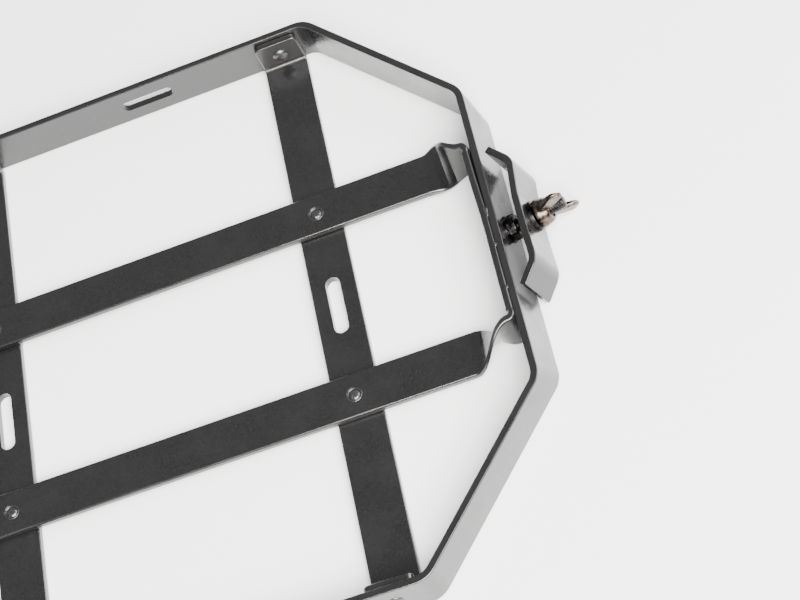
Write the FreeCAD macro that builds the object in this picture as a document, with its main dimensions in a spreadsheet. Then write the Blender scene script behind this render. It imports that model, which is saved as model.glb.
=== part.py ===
"""Folding luggage rack: a flat-bar platform with a hinge bracket at one end and a clamp at the other.

Millimetres, +Z up. The origin is the middle of the platform's underside, +X points to the clamp end
and the hinge is at the -X end. The end bar at the clamp leans outwards at its foot, and everything
bolted to it shares that lean.
"""
import FreeCAD, Part
import math
import os

import Sketcher

V = FreeCAD.Vector
X_AXIS = V(1, 0, 0)
Y_AXIS = V(0, 1, 0)
Z_AXIS = V(0, 0, 1)

SIZES = {
    # flat bar stock
    "bar_height": 20.0,
    "bar_thick": 3.2,
    "edge_round": 0.6,
    # outer frame, a long octagon
    "frame_length": 458.0,
    "frame_width": 281.0,
    "end_straight": 146.0,
    "chamfer_run": 60.0,
    "corner_radius": 11.0,
    "lean_angle": 15.0,
    "band_slot_length": 25.0,
    "band_slot_width": 6.0,
    "band_slot_pitch": 176.0,
    # cross straps under the slats
    "strap_pitch": 153.0,
    "strap_slot_length": 28.0,
    "strap_slot_width": 6.5,
    "strap_bend": 2.4,
    "tab_height": 18.0,
    "tab_corner": 2.5,
    # inner loop: two slats joined by a bar inside the clamp end
    "slat_offset": 46.0,
    "loop_offset": 43.8,
    "loop_level": 10.2,
    "slat_end_level": 13.0,
    "loop_bend": 4.0,
    "twist_start": 203.0,
    "loop_gap": 0.9,
    # rivets
    "rivet_radius": 2.4,
    "rivet_ring": 3.4,
    "rivet_sink": 1.0,
    "rivet_groove": 2.28,
    "rivet_shoulder": 1.68,
    "rivet_shoulder_rise": 0.3,
    "rivet_rise": 0.42,
    "tab_rivet_radius": 2.0,
    "tab_rivet_head": 3.5,
    "tab_rivet_dome": 1.8,
    "hole_play": 0.05,
    # clamp
    "stud_radius": 3.0,
    "stud_end": 26.2,
    "stud_nut_flats": 10.0,
    "stud_nut_height": 3.6,
    "tooth_washer_radius": 6.0,
    "tooth_washer_thick": 0.9,
    "clamp_seat": 11.6,
    "clamp_seat_half": 9.0,
    "clamp_left_face": 13.4,
    "clamp_left_corner": 27.0,
    "clamp_left_drop": 8.6,
    "clamp_left_run": 11.0,
    "clamp_right_face": 12.0,
    "clamp_right_corner": 23.0,
    "clamp_right_drop": 7.6,
    "clamp_right_run": 9.5,
    "clamp_hole": 3.7,
    "screw_offset": 2.0,
    "clamp_bend": 6.0,
    "washer_radius": 6.6,
    "washer_thick": 2.0,
    "washer_hole": 3.2,
    "nut_gap": 0.2,
    "wing_hub_base": 6.2,
    "wing_hub_top": 5.0,
    "wing_hub_height": 5.8,
    "wing_tip_reach": 9.5,
    "wing_tip_radius": 3.6,
    "wing_height": 15.4,
    "wing_thick": 2.6,
    "wing_root": 3.5,
    "wing_foot": 1.44,
    "wing_outer_edge": 25.5,
    "wing_inner_edge": 143.0,
    "wing_turn": 17.0,
    # hinge
    "hinge_offset": 12.0,
    "pin_radius": 3.0,
    "pin_play": 0.05,
    "pin_head": 5.2,
    "pin_head_thick": 2.4,
    "pin_tail": 6.4,
    "lug_outer": 34.5,
    "lug_foot": 20.0,
    "lug_rivet_offset": 22.0,
    "lug_rivet_spacing": 9.0,
    "ear_inner": 36.0,
    "heel_reach": 12.0,
    "heel_top": 9.0,
    "heel_chamfer": 4.0,
    "lug_shoulder": 10.0,
    "lug_nose": 9.0,
    "heel_gap": 0.3,
    "bracket_height": 56.0,
    "bracket_corner": 10.0,
    "ear_nose": 9.8,
    "bracket_hole": 3.3,
    "bracket_hole_wide": 48.0,
    "bracket_hole_high": 16.0,
    "bracket_hole_level": 40.0,
    "pin_washer_thick": 1.1,
    "pin_washer_radius": 6.5,
    "pin_washer_play": 0.1,
    "split_radius": 0.95,
    "split_eye": 2.1,
    "split_eye_lift": 1.8,
    "split_length": 13.0,
    "split_level": 2.6,
}

doc = FreeCAD.newDocument("luggage_rack")
sheet = doc.addObject("Spreadsheet::Sheet", "sizes")
for row, (alias, value) in enumerate(SIZES.items(), start=1):
    sheet.set(f"A{row}", alias)
    sheet.set(f"B{row}", str(value))
    sheet.setAlias(f"B{row}", alias)
working = doc.addObject("Spreadsheet::Sheet", "working")
doc.recompute()

# the finished sub-parts, in the order they are made
PARTS = []


def dim(name):
    """A driving dimension, read from the sheet."""
    return float(sheet.get(name))


def linked(expression):
    """The expression with each alias written as a reference to the sheet."""
    words = []
    word = ""
    for letter in expression + " ":
        if letter.isalnum() or letter == "_":
            word += letter
            continue
        words.append(f"sizes.{word}" if word in SIZES else word)
        words.append(letter)
        word = ""
    return "".join(words).strip()


def bind(obj, prop, expression):
    """Bind a property to the sheet; names in the expression are the sheet's aliases."""
    obj.setExpression(prop, linked(expression))


def value(expression):
    """The present value of an expression of the sheet's aliases."""
    working.set("A1", f"={linked(expression)}")
    working.recompute()
    return float(working.get("A1"))


def keep(obj, label):
    """Register a finished sub-part under its node name."""
    obj.Label = label
    PARTS.append(obj)
    return obj


def new_body(name):
    return doc.addObject("PartDesign::Body", name + "_body")


def plane(body, role):
    for feature in body.Origin.OriginFeatures:
        if feature.Role == role:
            return feature
    raise ValueError(role)


def new_sketch(body, name, role, offset=None):
    """A sketch on one of the body's own origin planes, lifted by an expression."""
    sketch = body.newObject("Sketcher::SketchObject", name)
    sketch.AttachmentSupport = [(plane(body, role), "")]
    sketch.MapMode = "FlatFace"
    if offset:
        bind(sketch, "AttachmentOffset.Base.z", offset)
    return sketch


def place_vertex(sketch, geometry, vertex, x_size, y_size):
    """Fix one vertex at (x, y) from the sketch's origin, both given as expressions."""
    for kind, size in (("DistanceX", x_size), ("DistanceY", y_size)):
        fixed = Sketcher.Constraint(kind, -1, 1, geometry, vertex, value(size))
        index = sketch.addConstraint(fixed)
        bind(sketch, f"Constraints[{index}]", size)


def polygon(sketch, corners):
    """A closed polygon whose corners are pairs of expressions."""
    count = len(corners)
    ring = [V(value(x_size), value(y_size), 0) for x_size, y_size in corners]
    first = sketch.GeometryCount
    for i in range(count):
        sketch.addGeometry(Part.LineSegment(ring[i], ring[(i + 1) % count]), False)
    for i in range(count):
        joined = first + (i + 1) % count
        sketch.addConstraint(Sketcher.Constraint("Coincident", first + i, 2, joined, 1))
    for i, (x_size, y_size) in enumerate(corners):
        place_vertex(sketch, first + i, 1, x_size, y_size)


def circle(sketch, x_size, y_size, radius):
    centre = V(value(x_size), value(y_size), 0)
    index = sketch.addGeometry(Part.Circle(centre, Z_AXIS, value(radius)), False)
    place_vertex(sketch, index, 3, x_size, y_size)
    ring = sketch.addConstraint(Sketcher.Constraint("Radius", index, value(radius)))
    bind(sketch, f"Constraints[{ring}]", radius)


def pad(body, sketch, name, length, symmetric=True):
    feature = body.newObject("PartDesign::Pad", name)
    feature.Profile = sketch
    feature.Midplane = symmetric
    bind(feature, "Length", length)
    doc.recompute()
    return feature


def pocket(body, sketch, name, depth):
    """A cut to both sides of its sketch plane."""
    doc.recompute()
    before = body.Shape.Volume
    feature = body.newObject("PartDesign::Pocket", name)
    feature.Profile = sketch
    feature.Midplane = True
    bind(feature, "Length", depth)
    doc.recompute()
    if body.Shape.Volume > before - 0.1:
        raise ValueError(f"{name} cuts nothing")
    return feature


def edges_at(shape, test):
    """Names of the edges whose ends all pass the test."""
    names = []
    for number, edge in enumerate(shape.Edges, start=1):
        if all(test(vertex.Point) for vertex in edge.Vertexes):
            names.append(f"Edge{number}")
    return names


def round_edges(body, name, edges, radius):
    """Fillet the named edges of the body's tip."""
    tip = body.Tip
    feature = body.newObject("PartDesign::Fillet", name)
    feature.Base = (tip, edges)
    bind(feature, "Radius", radius)
    doc.recompute()
    return feature


def stadium(sketch, x_size, y_size, length, width, along_x=True):
    """A slot with round ends; length is end to end."""
    reach = value(f"({length} - {width}) / 2")
    radius = value(f"{width} / 2")
    middle = V(value(x_size), value(y_size), 0)
    run = V(1, 0, 0) if along_x else V(0, 1, 0)
    side = V(-run.y, run.x, 0)
    start = math.atan2(-side.y, -side.x)
    far = Part.ArcOfCircle(Part.Circle(middle + run * reach, Z_AXIS, radius), start, start + math.pi)
    near = Part.ArcOfCircle(Part.Circle(middle - run * reach, Z_AXIS, radius), start + math.pi,
                            start + math.tau)
    left = Part.LineSegment(far.EndPoint, near.StartPoint)
    right = Part.LineSegment(near.EndPoint, far.StartPoint)
    first = sketch.GeometryCount
    for shape in (far, left, near, right):
        sketch.addGeometry(shape, False)
    for i in range(4):
        joined = first + (i + 1) % 4
        sketch.addConstraint(Sketcher.Constraint("Tangent", first + i, 2, joined, 1))
    for arc, sign in ((first, "+"), (first + 2, "-")):
        shift = f"{sign} ({length} - {width}) / 2"
        place_vertex(sketch, arc, 3, x_size + (shift if along_x else ""), y_size + ("" if along_x else shift))
        ring = sketch.addConstraint(Sketcher.Constraint("Radius", arc, radius))
        bind(sketch, f"Constraints[{ring}]", f"{width} / 2")


def corner_edges(shape, least_rise):
    """Names of the straight edges that climb at least this far."""
    names = []
    for number, edge in enumerate(shape.Edges, start=1):
        ends = [vertex.Point for vertex in edge.Vertexes]
        if abs(ends[0].z - ends[-1].z) > least_rise:
            names.append(f"Edge{number}")
    return names


# ---------------------------------------------------------------- outer frame
LEAN_RUN = "bar_height * tan(lean_angle)"
CHAMFER_RISE = "(frame_width - end_straight) / 2"
CHAMFER_TURN = f"atan(chamfer_run / ({CHAMFER_RISE}))"
SIDE_TURN = f"atan(({CHAMFER_RISE}) / chamfer_run)"


def frame_corners(front, front_half, front_wall, wall):
    """Corners of the octagon, inset by the wall; the front end has a wall of its own."""
    side_x = f"frame_length / 2 - chamfer_run - ({wall}) * tan({SIDE_TURN} / 2)"
    side_y = f"frame_width / 2 - ({wall})"
    rear_x = f"frame_length / 2 - ({wall})"
    rear_y = f"end_straight / 2 - ({wall}) * tan({CHAMFER_TURN} / 2)"
    inset_y = f"(({front_wall}) * cos({CHAMFER_TURN}) - ({wall})) / sin({CHAMFER_TURN})"
    front_x = f"({front}) - ({front_wall})"
    front_y = f"({front_half}) + {inset_y}"
    upper = [(front_x, front_y), (side_x, side_y), (f"-({side_x})", side_y), (f"-({rear_x})", rear_y)]
    lower = [(x, f"-({y})") for x, y in reversed(upper)]
    return upper + lower


def octagon_block(name, front_wall, wall, radius):
    """The octagon inset by a wall, as a solid block with a leaning front and round corners."""
    body = new_body(name)
    foot = f"frame_length / 2 + {LEAN_RUN}"
    foot_half = f"end_straight / 2 - {LEAN_RUN} * {CHAMFER_RISE} / chamfer_run"
    outline = new_sketch(body, f"{name}_outline", "XY_Plane")
    polygon(outline, frame_corners(foot, foot_half, front_wall, wall))
    pad(body, outline, f"{name}_pad", "bar_height", symmetric=False)
    lean = new_sketch(body, f"{name}_lean", "XZ_Plane")
    foot_x = f"{foot} - ({front_wall})"
    head_x = f"frame_length / 2 - ({front_wall})"
    polygon(lean, [(foot_x, "0"), (f"{foot_x} + bar_thick", "0"),
                   (f"{foot_x} + bar_thick", "bar_height"), (head_x, "bar_height")])
    pocket(body, lean, f"{name}_lean_cut", "frame_width")
    round_edges(body, f"{name}_corners", corner_edges(body.Shape, dim("bar_height") / 2), radius)
    return body


def outer_frame():
    body = octagon_block("outer_frame", "0", "0", "corner_radius")
    core = octagon_block("frame_core", "bar_thick / cos(lean_angle)", "bar_thick",
                         "corner_radius - bar_thick")
    hollow = body.newObject("PartDesign::Boolean", "hollow")
    hollow.setObjects([core])
    hollow.Type = "Cut"
    doc.recompute()
    level = "bar_height / 2"
    sides = new_sketch(body, "side_holes", "XZ_Plane")
    for sign in ("", "-"):
        stadium(sides, f"{sign}band_slot_pitch / 2", level, "band_slot_length", "band_slot_width")
    for place in ("-strap_pitch", "0", "strap_pitch"):
        circle(sides, place, level, "tab_rivet_radius + hole_play")
    pocket(body, sides, "side_hole_cut", "frame_width * 2")
    ends = new_sketch(body, "rear_holes", "YZ_Plane", "-frame_length / 2")
    for sign in ("", "-"):
        circle(ends, f"{sign}slat_offset", "slat_end_level", "tab_rivet_radius + hole_play")
        for lift in ("", "-"):
            circle(ends, f"{sign}lug_rivet_offset", f"{level} + {lift}lug_rivet_spacing / 2",
                   "tab_rivet_radius + hole_play")
    pocket(body, ends, "rear_hole_cut", "bar_height")
    stud_hole = body.newObject("PartDesign::SubtractiveCylinder", "stud_hole")
    bind(stud_hole, "Radius", "stud_radius + hole_play")
    bind(stud_hole, "Height", "bar_height")
    stud_hole.Placement = clamp_place(V(-dim("bar_height") / 2, dim("screw_offset"), 0), along_x=True)
    doc.recompute()
    top = dim("bar_height")
    rims = edges_at(body.Shape, lambda point: min(abs(point.z), abs(point.z - top)) < 0.01)
    round_edges(body, "rim_rounding", rims, "edge_round")
    return keep(body, "outer_frame")


# ---------------------------------------------------------------- clamp end's leaning frame
LEAN = dim("lean_angle")
LEAN_X = V(math.cos(math.radians(LEAN)), 0, math.sin(math.radians(LEAN)))
LEAN_Z = V(-LEAN_X.z, 0, LEAN_X.x)
CLAMP_ORIGIN = V(dim("frame_length") / 2 + dim("bar_height") / 2 * math.tan(math.radians(LEAN)), 0,
                 dim("bar_height") / 2)


def clamp_point(out, across, up):
    """A point given outwards from the clamp end's face, across it and up it."""
    return CLAMP_ORIGIN + LEAN_X * out + Y_AXIS * across + LEAN_Z * up


def clamp_place(offset, along_x=False):
    """A placement in the leaning frame; along_x lays an upright part along the stud."""
    turn = FreeCAD.Rotation(Y_AXIS, -LEAN)
    if along_x:
        turn = turn.multiply(FreeCAD.Rotation(Y_AXIS, 90))
    return FreeCAD.Placement(clamp_point(offset.x, offset.y, offset.z), turn)


# ---------------------------------------------------------------- cross straps and slats
def cross_strap(number, place):
    """A strap across the frame, its ends bent up against the long sides."""
    name = f"cross_strap_{number}"
    body = new_body(name)
    outside = "(frame_width / 2 - bar_thick)"
    inside = "(frame_width / 2 - 2 * bar_thick)"
    profile = new_sketch(body, f"{name}_profile", "YZ_Plane")
    half = [(outside, "0"), (outside, "tab_height"), (inside, "tab_height"), (inside, "bar_thick")]
    polygon(profile, half + [(f"-{y}", z) for y, z in reversed(half)])
    pad(body, profile, f"{name}_pad", "bar_height")
    for level, radius in ((0, "strap_bend + bar_thick"), (dim("bar_thick"), "strap_bend")):
        shape = body.Shape
        reach = dim("frame_width") / 2 - dim("bar_thick") * (1 if level == 0 else 2)
        bends = edges_at(shape, lambda point: abs(point.z - level) < 0.01 and abs(abs(point.y) - reach) < 0.01)
        round_edges(body, f"{name}_bend_{len(body.Group)}", bends_along(shape, bends, X_AXIS), radius)
    top = dim("tab_height")
    corners = edges_at(body.Shape, lambda point: abs(point.z - top) < 0.01)
    round_edges(body, f"{name}_tab_corners", bends_along(body.Shape, corners, Y_AXIS), "tab_corner")
    holes = new_sketch(body, f"{name}_holes", "XY_Plane")
    stadium(holes, "0", "0", "strap_slot_length", "strap_slot_width", along_x=False)
    for sign in ("", "-"):
        circle(holes, "0", f"{sign}slat_offset", "rivet_radius + hole_play")
    pocket(body, holes, f"{name}_hole_cut", "bar_height")
    shank = dim("rivet_radius") + dim("hole_play") + 0.01
    sunk = edges_at(body.Shape, lambda point: abs(point.z) < 0.01
                    and abs(abs(point.y) - dim("slat_offset")) < shank and abs(point.x) < shank)
    tip = body.Tip
    sink = body.newObject("PartDesign::Chamfer", f"{name}_rivet_sinks")
    sink.Base = (tip, sunk)
    bind(sink, "Size", "rivet_sink")
    doc.recompute()
    tabs = new_sketch(body, f"{name}_tab_holes", "XZ_Plane")
    circle(tabs, "0", "bar_height / 2", "tab_rivet_radius + hole_play")
    pocket(body, tabs, f"{name}_tab_hole_cut", "frame_width")
    rims = edges_at(body.Shape, lambda point: abs(abs(point.x) - dim("bar_height") / 2) < 0.01
                    or abs(point.z - top) < 0.01)
    thick_edges = bends_along(body.Shape, rims, Y_AXIS)
    flat_runs = [rim for rim in thick_edges if body.Shape.getElement(rim).Length > 2 * dim("bar_thick")]
    rims = [rim for rim in rims if rim not in thick_edges or rim in flat_runs]
    round_edges(body, f"{name}_rims", rims, "edge_round")
    bind(body, "Placement.Base.x", place)
    return keep(body, name)


def bends_along(shape, names, axis):
    """Those of the named edges that run along an axis."""
    picked = []
    for name in names:
        ends = [vertex.Point for vertex in shape.getElement(name).Vertexes]
        run = ends[-1] - ends[0]
        if run.Length > 0.01 and run.normalize().cross(axis).Length < 0.01:
            picked.append(name)
    return picked


def smooth(share):
    """A smooth step from 0 to 1."""
    share = min(max(share, 0.0), 1.0)
    return share * share * (3 - 2 * share)


def strip_section(middle, along, across):
    """The flat bar's rectangle at a point of its centre line."""
    normal = along.cross(across)
    side = across * (dim("bar_height") / 2)
    lift = normal * (dim("bar_thick") / 2)
    ring = [middle + side + lift, middle - side + lift, middle - side - lift, middle + side - lift]
    return Part.makePolygon(ring + ring[:1])


def loop_half(side, gap):
    """Stations of half the hairpin: a slat's twist, the bend, and the bar up to the middle.

    Each station is a point of the centre line, the direction along it and the direction across the bar.
    side is +1 or -1 for the slat at +Y or -Y, gap the space left to the outer frame at the bend.
    The strip climbs a little ahead of its twist, so that its lower edge never drops below the frame.
    """
    lean = math.radians(LEAN)
    bend = dim("loop_bend")
    out = Y_AXIS * side
    reach = dim("loop_offset") - bend
    bar_depth = 1.5 * dim("bar_thick")
    play = dim("hole_play")
    corner = clamp_point(-bar_depth - gap, side * reach, (bar_depth + gap) * math.tan(lean)) - X_AXIS * bend
    corner.z = dim("loop_level")
    start = V(dim("twist_start"), side * dim("slat_offset"), bar_depth)
    end = corner + out * bend
    stations = []
    twist_steps = 16
    for i in range(twist_steps + 1):
        share = smooth(i / twist_steps)
        climb = smooth(1.35 * i / twist_steps)
        middle = V(start.x + (end.x - start.x) * i / twist_steps, start.y + (end.y - start.y) * share,
                   start.z + (end.z - start.z) * climb)
        turn = math.radians(90) * share
        stations.append((middle, X_AXIS, out * math.cos(turn) + Z_AXIS * math.sin(turn)))
    bend_steps = 8
    for i in range(1, bend_steps + 1):
        turn = math.radians(90) * i / bend_steps
        along = X_AXIS * math.cos(turn) - out * math.sin(turn)
        tilt = lean * smooth(i / bend_steps)
        across = Z_AXIS * math.cos(tilt) + along.cross(Z_AXIS) * side * math.sin(tilt)
        stations.append((corner + (out * math.cos(turn) + X_AXIS * math.sin(turn)) * bend, along, across))
    last = corner + X_AXIS * bend
    lift = last - clamp_point(-bar_depth - gap, side * reach, (bar_depth + gap) * math.tan(lean))
    bar_steps = 4
    for i in range(1, bar_steps + 1):
        share = 1 - i / bar_steps
        depth = bar_depth + play + (gap - play) * smooth(share)
        middle = clamp_point(-depth, side * reach * share, depth * math.tan(lean)) + lift * smooth(share)
        stations.append((middle, out * -1, LEAN_Z))
    return stations


def loop_end():
    """The twists, bends and bar of the hairpin as one strip."""
    left = loop_half(1, dim("loop_gap"))
    right = loop_half(-1, dim("hole_play"))
    chain = left + [(middle, along * -1, across) for middle, along, across in reversed(right[:-1])]
    return Part.makeLoft([strip_section(*station) for station in chain], True, True)


def straight_slat(side):
    """A slat up to its twist, its rear end bent up against the rear band."""
    rear = -dim("frame_length") / 2 + dim("bar_thick")
    low = dim("bar_thick")
    top = 2 * dim("bar_thick")
    front = dim("twist_start")
    y_low = side * dim("slat_offset") - dim("bar_height") / 2
    outline = [(front, low), (front, top), (rear + dim("bar_thick"), top),
               (rear + dim("bar_thick"), dim("tab_height")), (rear, dim("tab_height")), (rear, low)]
    points = [V(x, y_low, z) for x, z in outline]
    solid = Part.Face(Part.makePolygon(points + points[:1])).extrude(Y_AXIS * dim("bar_height"))
    for (x, z), radius in ((outline[2], dim("strap_bend")), (outline[5], dim("strap_bend") + dim("bar_thick"))):
        edges = [e for e in solid.Edges
                 if all(abs(v.X - x) < 0.01 and abs(v.Z - z) < 0.01 for v in e.Vertexes)]
        solid = solid.makeFillet(radius, edges)
    return solid


def slat_loop():
    """The two slats and the bar that joins them, one bent strip."""
    solid = loop_end().fuse([straight_slat(side) for side in (1, -1)]).removeSplitter()
    hole = dim("rivet_radius") + dim("hole_play")
    ring = dim("rivet_ring")
    top = 2 * dim("bar_thick")
    cutters = []
    for number in (-1, 0, 1):
        for side in (1, -1):
            place = V(number * dim("strap_pitch"), side * dim("slat_offset"), 0)
            cutters.append(Part.makeCylinder(hole, dim("bar_height"), place))
            cutters.append(Part.makeCone(hole, ring, ring - hole, place + V(0, 0, top - ring + hole)))
    for side in (1, -1):
        place = V(-dim("frame_length") / 2, side * dim("slat_offset"), dim("slat_end_level"))
        cutters.append(Part.makeCylinder(dim("tab_rivet_radius") + dim("hole_play"), dim("bar_height"),
                                         place, X_AXIS))
    cutters.append(Part.makeCylinder(dim("stud_radius") + dim("hole_play"), dim("bar_height"),
                                     clamp_point(-dim("bar_height") / 2, dim("screw_offset"), 0),
                                     LEAN_X))
    feature = doc.addObject("Part::Feature", "slat_loop")
    feature.Shape = solid.cut(cutters)
    return keep(feature, "slat_loop")


# ---------------------------------------------------------------- rivets
def turned(name, corners):
    """A solid of revolution about Z from a half profile of (radius, height) expressions."""
    sketch = doc.addObject("Sketcher::SketchObject", f"{name}_profile")
    sketch.Placement = FreeCAD.Placement(V(0, 0, 0), FreeCAD.Rotation(X_AXIS, 90))
    polygon(sketch, corners)
    feature = doc.addObject("Part::Revolution", name)
    feature.Source = sketch
    feature.Axis = Z_AXIS
    feature.Solid = True
    doc.recompute()
    return feature


def group(label, source, places):
    """Copies of one small part at several placements, as one node."""
    links = []
    for number, place in enumerate(places, start=1):
        link = doc.addObject("App::Link", f"{label}_{number}")
        link.LinkedObject = source
        link.LinkPlacement = place
        links.append(link)
    feature = doc.addObject("Part::Compound", label)
    feature.Links = links
    doc.recompute()
    return keep(feature, label)


def at(position, axis=Z_AXIS):
    """A placement that lays an upright part along an axis."""
    return FreeCAD.Placement(position, FreeCAD.Rotation(Z_AXIS, axis))


def slat_rivets():
    """Sunk rivets, peened flush, through slat and strap."""
    grip = "2 * bar_thick"
    ring = "rivet_ring - hole_play"
    rivet = turned("slat_rivet", [
        ("0", "0"), (ring, "0"), ("rivet_radius", "rivet_sink - hole_play"),
        ("rivet_radius", f"{grip} - rivet_sink + hole_play"), (ring, grip), ("rivet_groove", grip),
        ("rivet_shoulder", f"{grip} + rivet_shoulder_rise"), ("0", f"{grip} + rivet_rise")])
    places = [at(V(number * dim("strap_pitch"), side * dim("slat_offset"), 0))
              for number in (-1, 0, 1) for side in (1, -1)]
    return group("slat_rivets", rivet, places)


def dome_rivet():
    """A rivet that grips two bars, with a dome at the start and a flatter one at the end."""
    corners = [("0", "-tab_rivet_dome")]
    for angle in (25, 50, 75):
        corners.append((f"tab_rivet_head * sin({angle})", f"-tab_rivet_dome * cos({angle})"))
    corners.append(("tab_rivet_head", "0"))
    corners.append(("tab_rivet_radius", "0"))
    corners.append(("tab_rivet_radius", "2 * bar_thick"))
    corners.append(("tab_rivet_head", "2 * bar_thick"))
    for angle in (70, 40):
        corners.append((f"tab_rivet_head * sin({angle})", f"2 * bar_thick + tab_rivet_dome / 2 * cos({angle})"))
    corners.append(("0", "2 * bar_thick + tab_rivet_dome / 2"))
    return turned("dome_rivet", corners)


def band_rivets():
    """The domed rivets that hold straps, slats and hinge lugs to the outer frame."""
    rivet = dome_rivet()
    grip = 2 * dim("bar_thick")
    level = dim("bar_height") / 2
    side_face = dim("frame_width") / 2
    rear_face = -dim("frame_length") / 2
    tabs = [at(V(number * dim("strap_pitch"), side * (side_face - grip), level), Y_AXIS * side)
            for number in (-1, 0, 1) for side in (1, -1)]
    group("tab_rivets", rivet, tabs)
    slats = [at(V(rear_face + grip, side * dim("slat_offset"), dim("slat_end_level")), X_AXIS * -1)
             for side in (1, -1)]
    group("slat_end_rivets", rivet, slats)
    lugs = []
    for side in (1, -1):
        for lift in (1, -1):
            height = level + lift * dim("lug_rivet_spacing") / 2
            lugs.append(at(V(rear_face - dim("bar_thick"), side * dim("lug_rivet_offset"), height), X_AXIS))
    group("lug_rivets", rivet, lugs)


# ---------------------------------------------------------------- clamp
def clamp_plate():
    """A hat-shaped bar: a seat for the nut, a web, and two legs that bend back to the frame."""
    body = new_body("clamp_plate")
    profile = new_sketch(body, "clamp_profile", "XY_Plane")
    outer = []
    inner = []
    for side, sign in (("left", ""), ("right", "-")):
        slope = f"atan(clamp_{side}_drop / clamp_{side}_run)"
        face = f"clamp_{side}_face"
        corner = f"clamp_{side}_corner"
        tip_out = f"{face} - clamp_{side}_drop"
        tip_y = f"({corner} + clamp_{side}_run)"
        outer_side = [(tip_out, f"{sign}{tip_y}"), (face, f"{sign}{corner}"),
                      ("clamp_seat", f"{sign}clamp_seat_half")]
        inner_side = [(f"{tip_out} - bar_thick * cos({slope})", f"{sign}({tip_y} - bar_thick * sin({slope}))"),
                      (f"{face} - bar_thick", f"{sign}({corner} - bar_thick * tan({slope} / 2))"),
                      ("clamp_seat - bar_thick", f"{sign}clamp_seat_half")]
        if sign:
            outer_side.reverse()
            inner_side.reverse()
        outer += outer_side
        inner += inner_side
    polygon(profile, outer + inner[::-1])
    pad(body, profile, "clamp_pad", "bar_height")
    for kind, radius in (("outer", "clamp_bend + bar_thick"), ("inner", "clamp_bend")):
        back = 0 if kind == "outer" else dim("bar_thick")
        picked = []
        for number, edge in enumerate(body.Shape.Edges, start=1):
            ends = [vertex.Point for vertex in edge.Vertexes]
            upright = abs(ends[0].z - ends[-1].z) > 1
            on_web = any(abs(ends[0].x - dim(f"clamp_{side}_face") + back) < 0.01 for side in ("left", "right"))
            if upright and on_web and abs(ends[0].y) > dim("clamp_seat_half") + 1:
                picked.append(f"Edge{number}")
        round_edges(body, f"clamp_{kind}_bends", picked, radius)
    hole = new_sketch(body, "clamp_hole_place", "YZ_Plane")
    circle(hole, "screw_offset", "0", "clamp_hole")
    pocket(body, hole, "clamp_hole_cut", "4 * bar_height")
    top = dim("bar_height") / 2
    rims = edges_at(body.Shape, lambda point: abs(abs(point.z) - top) < 0.01)
    round_edges(body, "clamp_rounding", rims, "edge_round")
    body.Placement = clamp_place(V(0, 0, 0))
    return keep(body, "clamp_plate")


def primitive(kind, name, **sizes):
    feature = doc.addObject(f"Part::{kind}", name)
    for prop, expression in sizes.items():
        bind(feature, prop, expression)
    return feature


def cut(label, base, tool, place=None):
    feature = doc.addObject("Part::Cut", label)
    feature.Base = base
    feature.Tool = tool
    if place:
        feature.Placement = place
    doc.recompute()
    return keep(feature, label)


def ring(label, outer, hole, thick, place):
    """A washer."""
    disc = primitive("Cylinder", f"{label}_disc", Radius=outer, Height=thick)
    bore = primitive("Cylinder", f"{label}_bore", Radius=hole, Height=thick)
    return cut(label, disc, bore, place)


def prism(label, sides, radius, height, place):
    """A many-sided prism with a hole for the stud."""
    block = primitive("Prism", f"{label}_block", Circumradius=radius, Height=height)
    block.Polygon = sides
    bore = primitive("Cylinder", f"{label}_bore", Radius="stud_radius + hole_play", Height=height)
    return cut(label, block, bore, place)


def clamp_screw():
    """The stud through frame and loop, its nut and washers, and the wing nut."""
    stud = primitive("Cylinder", "clamp_stud", Radius="stud_radius", Height="stud_end + 2 * bar_thick")
    across = dim("screw_offset")
    stud.Placement = clamp_place(V(-2 * dim("bar_thick"), across, 0), along_x=True)
    keep(stud, "clamp_stud")
    prism("tooth_washer", 12, "tooth_washer_radius", "tooth_washer_thick",
          clamp_place(V(0, across, 0), along_x=True))
    prism("stud_nut", 6, "stud_nut_flats / sqrt(3)", "stud_nut_height",
          clamp_place(V(dim("tooth_washer_thick"), across, 0), along_x=True))
    ring("flat_washer", "washer_radius", "washer_hole", "washer_thick",
         clamp_place(V(dim("clamp_seat"), across, 0), along_x=True))


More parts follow.
